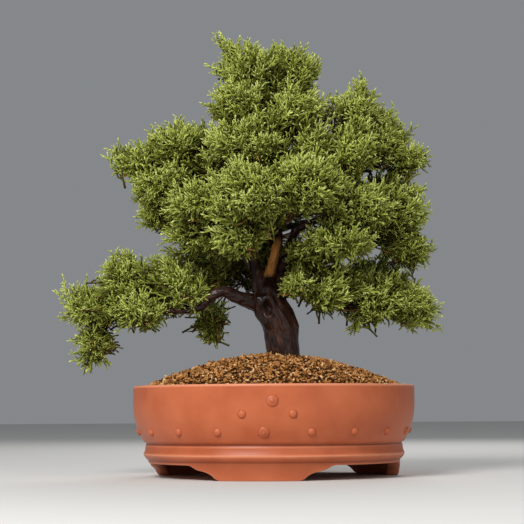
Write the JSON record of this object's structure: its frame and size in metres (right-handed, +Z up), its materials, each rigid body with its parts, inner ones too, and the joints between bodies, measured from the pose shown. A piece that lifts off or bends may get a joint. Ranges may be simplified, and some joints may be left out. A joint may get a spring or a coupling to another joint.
{
  "type": "bonsai tree in a pot",
  "caption": "Juniper bonsai with layered clumps of scale leaves on a leaning trunk, in a round unglazed red clay pot on cloud-shaped feet.",
  "frame": {"origin": "on the surface that the feet stand on, below the middle of the whole model's box", "axes": "+Z up through the tree, +Y from the tree's front to its back, +X to the right seen from the front"},
  "size_m": [0.3326, 0.2428, 0.389],
  "materials": {
    "clay": "satin",
    "soil": "matte",
    "mesh_plastic": "matte",
    "clip_wire": "satin",
    "bark": "satin",
    "leaves": "matte"
  },
  "bodies": {
    "root": {"pot": "clay", "soil": "soil", "drain_mesh": "mesh_plastic", "mesh_clip": "clip_wire", "trunk": "bark", "branch_apex_back": "bark", "branch_back": "bark", "branch_back_left": "bark", "branch_back_right": "bark", "branch_front": "bark", "branch_front_left": "bark", "branch_left": "bark", "branch_lower_left": "bark", "branch_lower_right": "bark", "branch_right": "bark", "branch_upper_right": "bark", "foliage_apex_back": "leaves", "foliage_apex_left": "leaves", "foliage_apex_low_left": "leaves", "foliage_apex_low_right": "leaves", "foliage_apex_right": "leaves", "foliage_back_left_hang": "leaves", "foliage_back_left_low": "leaves", "foliage_centre_back": "leaves", "foliage_centre_back_low": "leaves", "foliage_front_left": "leaves", "foliage_front_left_low": "leaves", "foliage_front_low": "leaves", "foliage_front_mid": "leaves", "foliage_front_right": "leaves", "foliage_front_right_top": "leaves", "foliage_front_top": "leaves", "foliage_lower_left_back": "leaves", "foliage_lower_left_hang": "leaves", "foliage_lower_left_inner": "leaves", "foliage_lower_left_mid": "leaves", "foliage_lower_left_tip": "leaves", "foliage_lower_left_top": "leaves", "foliage_lower_right_back": "leaves", "foliage_lower_right_inner": "leaves", "foliage_lower_right_mid": "leaves", "foliage_lower_right_tip": "leaves", "foliage_right_back": "leaves", "foliage_right_inner_front": "leaves", "foliage_right_inner_low": "leaves", "foliage_right_low": "leaves", "foliage_right_mid": "leaves", "foliage_right_out": "leaves", "foliage_right_out_low": "leaves", "foliage_upper_left_back": "leaves", "foliage_upper_left_inner": "leaves", "foliage_upper_left_low": "leaves", "foliage_upper_left_mid": "leaves", "foliage_upper_left_tip": "leaves", "foliage_upper_left_top": "leaves", "foliage_upper_right_back": "leaves", "foliage_upper_right_front": "leaves", "foliage_upper_right_mid": "leaves", "foliage_upper_right_tip": "leaves", "foliage_upper_right_top": "leaves"}
  },
  "joints": []
}
